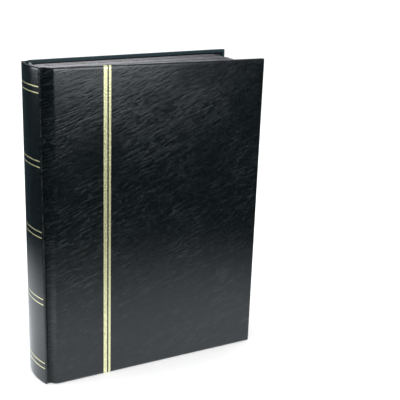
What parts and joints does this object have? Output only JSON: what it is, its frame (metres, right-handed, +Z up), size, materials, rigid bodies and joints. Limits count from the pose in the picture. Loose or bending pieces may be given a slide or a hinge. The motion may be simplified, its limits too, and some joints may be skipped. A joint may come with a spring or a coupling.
{
  "type": "stamp album",
  "caption": "Hardbound stockbook with black leatherette covers, gold foil stripes, hinged covers, turning black pages, clear pockets and sample stamps.",
  "frame": {"origin": "middle of the bottom of the album's box, with the album standing on its tail and each cover three degrees open", "axes": "+Z up from tail to head, +X from the spine to the fore-edge, and the front cover faces -Y"},
  "size_m": [0.2301, 0.0738, 0.305],
  "materials": {
    "leatherette": "black grained leatherette, semi-gloss",
    "greyboard": "matte greyboard",
    "black_endpaper": "matte black paper",
    "gold_foil": "hot-stamped gold foil, bright",
    "black_card": "matte black card",
    "clear_film": "clear film, glossy",
    "glassine": "translucent glassine, satin",
    "linen": "woven linen",
    "cotton_cord": "ribbed cotton",
    "stamp_paper": "matte printed paper"
  },
  "bodies": {
    "binding": {"spine_board": "greyboard", "spine_leather": "leatherette", "front_joint_leather": "leatherette", "back_joint_leather": "leatherette", "sewn_guards": "linen", "headband": "cotton_cord", "tailband": "cotton_cord"},
    "front_cover": {"front_cover_board": "greyboard", "front_cover_leather": "leatherette", "front_pastedown": "black_endpaper", "gold_stripe_wide": "gold_foil", "gold_stripe_narrow": "gold_foil"},
    "back_cover": {"back_cover_board": "greyboard", "back_cover_leather": "leatherette", "back_pastedown": "black_endpaper"},
    "leaf_01": {"leaf_01": "black_card"},
    "leaf_02": {"leaf_02": "black_card"},
    "leaf_03": {"leaf_03": "black_card"},
    "leaf_04": {"leaf_04": "black_card"},
    "leaf_05": {"leaf_05": "black_card"},
    "leaf_06": {"leaf_06": "black_card"},
    "leaf_07": {"leaf_07": "black_card"},
    "leaf_08": {"leaf_08": "black_card"},
    "leaf_09": {"leaf_09": "black_card", "clear_strip_1": "clear_film", "clear_strip_2": "clear_film", "clear_strip_3": "clear_film", "clear_strip_4": "clear_film", "clear_strip_5": "clear_film", "clear_strip_6": "clear_film", "clear_strip_7": "clear_film", "clear_strip_8": "clear_film", "clear_strip_9": "clear_film"},
    "leaf_10": {"leaf_10": "black_card"},
    "leaf_11": {"leaf_11": "black_card"},
    "leaf_12": {"leaf_12": "black_card"},
    "leaf_13": {"leaf_13": "black_card"},
    "leaf_14": {"leaf_14": "black_card"},
    "leaf_15": {"leaf_15": "black_card"},
    "leaf_16": {"leaf_16": "black_card"},
    "leaf_17": {"leaf_17": "black_card"},
    "leaf_18": {"leaf_18": "black_card"},
    "leaf_19": {"leaf_19": "black_card"},
    "leaf_20": {"leaf_20": "black_card"},
    "leaf_21": {"leaf_21": "black_card"},
    "leaf_22": {"leaf_22": "black_card"},
    "leaf_23": {"leaf_23": "black_card"},
    "leaf_24": {"leaf_24": "black_card"},
    "leaf_25": {"leaf_25": "black_card"},
    "leaf_26": {"leaf_26": "black_card"},
    "leaf_27": {"leaf_27": "black_card"},
    "leaf_28": {"leaf_28": "black_card"},
    "leaf_29": {"leaf_29": "black_card"},
    "leaf_30": {"leaf_30": "black_card"},
    "leaf_31": {"leaf_31": "black_card"},
    "leaf_32": {"leaf_32": "black_card"},
    "interleaf": {"glassine_interleaf": "glassine"},
    "stamp_wide": {"stamp_wide": "stamp_paper"},
    "stamp_left": {"stamp_left": "stamp_paper"},
    "stamp_right": {"stamp_right": "stamp_paper"}
  },
  "joints": [
    {"name": "front_cover_hinge", "type": "hinge", "parent": "binding", "child": "front_cover", "pos_m": [-0.10809, -0.02355, 0], "axis": [0, 0, -1], "range_deg": [-3, 177]},
    {"name": "back_cover_hinge", "type": "hinge", "parent": "binding", "child": "back_cover", "pos_m": [-0.10809, 0.02355, 0], "axis": [0, 0, 1], "range_deg": [-3, 177]},
    {"name": "leaf_01_turn", "type": "hinge", "parent": "binding", "child": "leaf_01", "pos_m": [-0.10669, -0.02108, 0], "axis": [0, 0, -1], "range_deg": [-2.63, 152.46]},
    {"name": "leaf_02_turn", "type": "hinge", "parent": "binding", "child": "leaf_02", "pos_m": [-0.10669, -0.02018, 0], "axis": [0, 0, -1], "range_deg": [-2.55, 147.56]},
    {"name": "leaf_03_turn", "type": "hinge", "parent": "binding", "child": "leaf_03", "pos_m": [-0.10669, -0.01928, 0], "axis": [0, 0, -1], "range_deg": [-2.47, 142.64]},
    {"name": "leaf_04_turn", "type": "hinge", "parent": "binding", "child": "leaf_04", "pos_m": [-0.10669, -0.01838, 0], "axis": [0, 0, -1], "range_deg": [-2.38, 137.72]},
    {"name": "leaf_05_turn", "type": "hinge", "parent": "binding", "child": "leaf_05", "pos_m": [-0.10669, -0.01748, 0], "axis": [0, 0, -1], "range_deg": [-2.3, 132.82]},
    {"name": "leaf_06_turn", "type": "hinge", "parent": "binding", "child": "leaf_06", "pos_m": [-0.10669, -0.01658, 0], "axis": [0, 0, -1], "range_deg": [-2.22, 127.9]},
    {"name": "leaf_07_turn", "type": "hinge", "parent": "binding", "child": "leaf_07", "pos_m": [-0.10669, -0.01568, 0], "axis": [0, 0, -1], "range_deg": [-2.13, 122.98]},
    {"name": "leaf_08_turn", "type": "hinge", "parent": "binding", "child": "leaf_08", "pos_m": [-0.10669, -0.01478, 0], "axis": [0, 0, -1], "range_deg": [-2.05, 118.07]},
    {"name": "leaf_09_turn", "type": "hinge", "parent": "binding", "child": "leaf_09", "pos_m": [-0.10669, -0.00652, 0], "axis": [0, 0, 1], "range_deg": [-0.21, 9.75]},
    {"name": "leaf_10_turn", "type": "hinge", "parent": "binding", "child": "leaf_10", "pos_m": [-0.10669, -0.00532, 0], "axis": [0, 0, 1], "range_deg": [-0.32, 15.96]},
    {"name": "leaf_11_turn", "type": "hinge", "parent": "binding", "child": "leaf_11", "pos_m": [-0.10669, -0.00412, 0], "axis": [0, 0, 1], "range_deg": [-0.42, 22.16]},
    {"name": "leaf_12_turn", "type": "hinge", "parent": "binding", "child": "leaf_12", "pos_m": [-0.10669, -0.00292, 0], "axis": [0, 0, 1], "range_deg": [-0.53, 28.37]},
    {"name": "leaf_13_turn", "type": "hinge", "parent": "binding", "child": "leaf_13", "pos_m": [-0.10669, -0.00172, 0], "axis": [0, 0, 1], "range_deg": [-0.64, 34.56]},
    {"name": "leaf_14_turn", "type": "hinge", "parent": "binding", "child": "leaf_14", "pos_m": [-0.10669, -0.00052, 0], "axis": [0, 0, 1], "range_deg": [-0.74, 40.78]},
    {"name": "leaf_15_turn", "type": "hinge", "parent": "binding", "child": "leaf_15", "pos_m": [-0.10669, 0.00068, 0], "axis": [0, 0, 1], "range_deg": [-0.85, 46.97]},
    {"name": "leaf_16_turn", "type": "hinge", "parent": "binding", "child": "leaf_16", "pos_m": [-0.10669, 0.00188, 0], "axis": [0, 0, 1], "range_deg": [-0.95, 53.19]},
    {"name": "leaf_17_turn", "type": "hinge", "parent": "binding", "child": "leaf_17", "pos_m": [-0.10669, 0.00308, 0], "axis": [0, 0, 1], "range_deg": [-1.06, 59.4]},
    {"name": "leaf_18_turn", "type": "hinge", "parent": "binding", "child": "leaf_18", "pos_m": [-0.10669, 0.00428, 0], "axis": [0, 0, 1], "range_deg": [-1.16, 65.59]},
    {"name": "leaf_19_turn", "type": "hinge", "parent": "binding", "child": "leaf_19", "pos_m": [-0.10669, 0.00548, 0], "axis": [0, 0, 1], "range_deg": [-1.27, 71.81]},
    {"name": "leaf_20_turn", "type": "hinge", "parent": "binding", "child": "leaf_20", "pos_m": [-0.10669, 0.00668, 0], "axis": [0, 0, 1], "range_deg": [-1.37, 78]},
    {"name": "leaf_21_turn", "type": "hinge", "parent": "binding", "child": "leaf_21", "pos_m": [-0.10669, 0.00788, 0], "axis": [0, 0, 1], "range_deg": [-1.48, 84.21]},
    {"name": "leaf_22_turn", "type": "hinge", "parent": "binding", "child": "leaf_22", "pos_m": [-0.10669, 0.00908, 0], "axis": [0, 0, 1], "range_deg": [-1.58, 90.43]},
    {"name": "leaf_23_turn", "type": "hinge", "parent": "binding", "child": "leaf_23", "pos_m": [-0.10669, 0.01028, 0], "axis": [0, 0, 1], "range_deg": [-1.69, 96.62]},
    {"name": "leaf_24_turn", "type": "hinge", "parent": "binding", "child": "leaf_24", "pos_m": [-0.10669, 0.01148, 0], "axis": [0, 0, 1], "range_deg": [-1.79, 102.83]},
    {"name": "leaf_25_turn", "type": "hinge", "parent": "binding", "child": "leaf_25", "pos_m": [-0.10669, 0.01268, 0], "axis": [0, 0, 1], "range_deg": [-1.9, 109.03]},
    {"name": "leaf_26_turn", "type": "hinge", "parent": "binding", "child": "leaf_26", "pos_m": [-0.10669, 0.01388, 0], "axis": [0, 0, 1], "range_deg": [-2, 115.24]},
    {"name": "leaf_27_turn", "type": "hinge", "parent": "binding", "child": "leaf_27", "pos_m": [-0.10669, 0.01508, 0], "axis": [0, 0, 1], "range_deg": [-2.11, 121.44]},
    {"name": "leaf_28_turn", "type": "hinge", "parent": "binding", "child": "leaf_28", "pos_m": [-0.10669, 0.01628, 0], "axis": [0, 0, 1], "range_deg": [-2.21, 127.65]},
    {"name": "leaf_29_turn", "type": "hinge", "parent": "binding", "child": "leaf_29", "pos_m": [-0.10669, 0.01748, 0], "axis": [0, 0, 1], "range_deg": [-2.32, 133.86]},
    {"name": "leaf_30_turn", "type": "hinge", "parent": "binding", "child": "leaf_30", "pos_m": [-0.10669, 0.01868, 0], "axis": [0, 0, 1], "range_deg": [-2.42, 140.06]},
    {"name": "leaf_31_turn", "type": "hinge", "parent": "binding", "child": "leaf_31", "pos_m": [-0.10669, 0.01988, 0], "axis": [0, 0, 1], "range_deg": [-2.53, 146.27]},
    {"name": "leaf_32_turn", "type": "hinge", "parent": "binding", "child": "leaf_32", "pos_m": [-0.10669, 0.02108, 0], "axis": [0, 0, 1], "range_deg": [-2.63, 152.46]},
    {"name": "interleaf_turn", "type": "hinge", "parent": "binding", "child": "interleaf", "pos_m": [-0.10669, -0.01433, 0], "axis": [0, 0, -1], "range_deg": [-1.97, 113.21]},
    {"name": "stamp_wide_slide", "type": "slide", "parent": "leaf_09", "child": "stamp_wide", "axis": [0.0001, -0.0107, 0.9999], "range_m": [0, 0.025]},
    {"name": "stamp_left_slide", "type": "slide", "parent": "leaf_09", "child": "stamp_left", "axis": [0.0001, -0.0107, 0.9999], "range_m": [0, 0.025]},
    {"name": "stamp_right_slide", "type": "slide", "parent": "leaf_09", "child": "stamp_right", "axis": [0.0001, -0.0107, 0.9999], "range_m": [0, 0.025]}
  ],
  "couplings": [
    {"joint": "leaf_01_turn", "follows": "front_cover_hinge", "ratio": 0.8611},
    {"joint": "leaf_02_turn", "follows": "front_cover_hinge", "ratio": 0.8334},
    {"joint": "leaf_03_turn", "follows": "front_cover_hinge", "ratio": 0.8056},
    {"joint": "leaf_04_turn", "follows": "front_cover_hinge", "ratio": 0.7778},
    {"joint": "leaf_05_turn", "follows": "front_cover_hinge", "ratio": 0.7501},
    {"joint": "leaf_06_turn", "follows": "front_cover_hinge", "ratio": 0.7223},
    {"joint": "leaf_07_turn", "follows": "front_cover_hinge", "ratio": 0.6945},
    {"joint": "leaf_08_turn", "follows": "front_cover_hinge", "ratio": 0.6668},
    {"joint": "leaf_09_turn", "follows": "back_cover_hinge", "ratio": 0.0548},
    {"joint": "leaf_10_turn", "follows": "back_cover_hinge", "ratio": 0.0899},
    {"joint": "leaf_11_turn", "follows": "back_cover_hinge", "ratio": 0.1249},
    {"joint": "leaf_12_turn", "follows": "back_cover_hinge", "ratio": 0.16},
    {"joint": "leaf_13_turn", "follows": "back_cover_hinge", "ratio": 0.195},
    {"joint": "leaf_14_turn", "follows": "back_cover_hinge", "ratio": 0.2301},
    {"joint": "leaf_15_turn", "follows": "back_cover_hinge", "ratio": 0.2651},
    {"joint": "leaf_16_turn", "follows": "back_cover_hinge", "ratio": 0.3002},
    {"joint": "leaf_17_turn", "follows": "back_cover_hinge", "ratio": 0.3353},
    {"joint": "leaf_18_turn", "follows": "back_cover_hinge", "ratio": 0.3703},
    {"joint": "leaf_19_turn", "follows": "back_cover_hinge", "ratio": 0.4054},
    {"joint": "leaf_20_turn", "follows": "back_cover_hinge", "ratio": 0.4404},
    {"joint": "leaf_21_turn", "follows": "back_cover_hinge", "ratio": 0.4755},
    {"joint": "leaf_22_turn", "follows": "back_cover_hinge", "ratio": 0.5106},
    {"joint": "leaf_23_turn", "follows": "back_cover_hinge", "ratio": 0.5456},
    {"joint": "leaf_24_turn", "follows": "back_cover_hinge", "ratio": 0.5807},
    {"joint": "leaf_25_turn", "follows": "back_cover_hinge", "ratio": 0.6157},
    {"joint": "leaf_26_turn", "follows": "back_cover_hinge", "ratio": 0.6508},
    {"joint": "leaf_27_turn", "follows": "back_cover_hinge", "ratio": 0.6858},
    {"joint": "leaf_28_turn", "follows": "back_cover_hinge", "ratio": 0.7209},
    {"joint": "leaf_29_turn", "follows": "back_cover_hinge", "ratio": 0.756},
    {"joint": "leaf_30_turn", "follows": "back_cover_hinge", "ratio": 0.791},
    {"joint": "leaf_31_turn", "follows": "back_cover_hinge", "ratio": 0.8261},
    {"joint": "leaf_32_turn", "follows": "back_cover_hinge", "ratio": 0.8611},
    {"joint": "interleaf_turn", "follows": "front_cover_hinge", "ratio": 0.6393}
  ]
}
